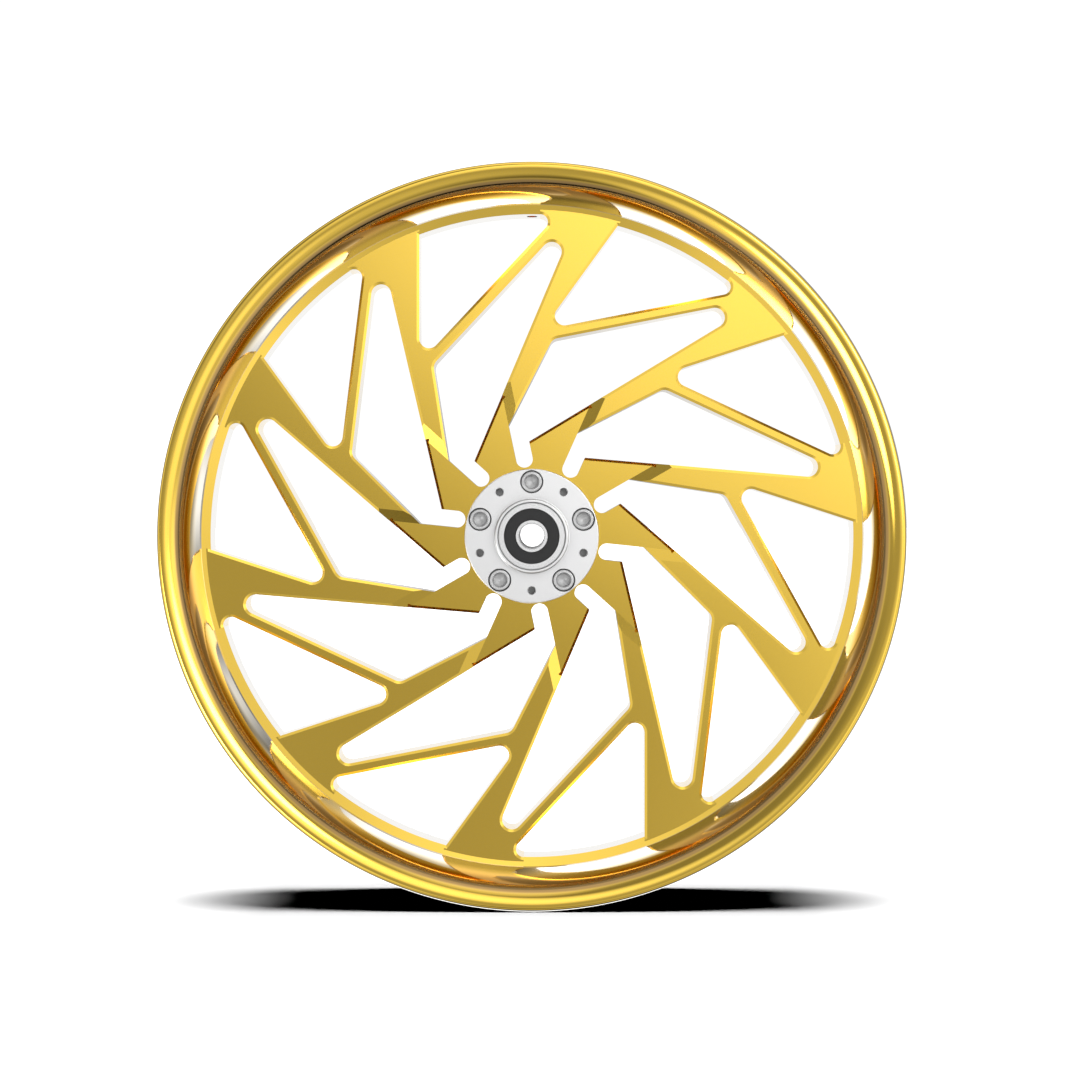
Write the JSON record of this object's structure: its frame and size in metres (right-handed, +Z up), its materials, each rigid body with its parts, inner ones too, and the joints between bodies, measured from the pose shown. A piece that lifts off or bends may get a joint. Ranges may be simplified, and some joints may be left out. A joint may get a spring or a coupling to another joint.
{
  "type": "spoked motorcycle wheel",
  "caption": "Front motorcycle wheel with forked flat spokes, a rounded deep-well rim and a bolted hub with sealed ball bearings.",
  "frame": {"origin": "centre of the wheel, on the axle's axis, midway between the rim's flanges", "axes": "+Y along the axle, away from the bolt side; -Y faces the pictured side; +Z up, +X to the right of it"},
  "size_m": [0.5676, 0.104, 0.5676],
  "materials": {
    "gold_rim": "polished, gold anodised",
    "gold_centre": "machined, gold anodised",
    "hub_aluminium": "fine turned",
    "screw_steel": "satin zinc",
    "spacer_aluminium": "turned",
    "bearing_steel": "ground",
    "cage_polymer": "moulded",
    "seal_rubber": "matt"
  },
  "bodies": {
    "axle_side": {"front_bearing_inner_race": "bearing_steel", "rear_bearing_inner_race": "bearing_steel", "axle_spacer": "spacer_aluminium"},
    "wheel": {"rim": "gold_rim", "wheel_centre": "gold_centre", "front_hub": "hub_aluminium", "rear_hub": "hub_aluminium", "hub_screws": "screw_steel", "hub_screw_washers": "screw_steel", "front_bearing_outer_race": "bearing_steel", "front_bearing_outboard_seal": "seal_rubber", "front_bearing_inboard_seal": "seal_rubber", "rear_bearing_outer_race": "bearing_steel", "rear_bearing_outboard_seal": "seal_rubber", "rear_bearing_inboard_seal": "seal_rubber"},
    "front_ball_set": {"front_bearing_balls": "bearing_steel", "front_bearing_cage": "cage_polymer"},
    "rear_ball_set": {"rear_bearing_balls": "bearing_steel", "rear_bearing_cage": "cage_polymer"}
  },
  "joints": [
    {"name": "wheel_spin", "type": "hinge", "parent": "axle_side", "child": "wheel", "pos_m": [0, 0, 0], "axis": [0, 1, 0], "continuous": true},
    {"name": "front_ball_orbit", "type": "hinge", "parent": "axle_side", "child": "front_ball_set", "pos_m": [0, -0.0405, 0], "axis": [0, 1, 0], "continuous": true},
    {"name": "rear_ball_orbit", "type": "hinge", "parent": "axle_side", "child": "rear_ball_set", "pos_m": [0, 0.0405, 0], "axis": [0, 1, 0], "continuous": true}
  ],
  "couplings": [
    {"joint": "front_ball_orbit", "follows": "wheel_spin", "ratio": 0.6323},
    {"joint": "rear_ball_orbit", "follows": "wheel_spin", "ratio": 0.6323}
  ]
}
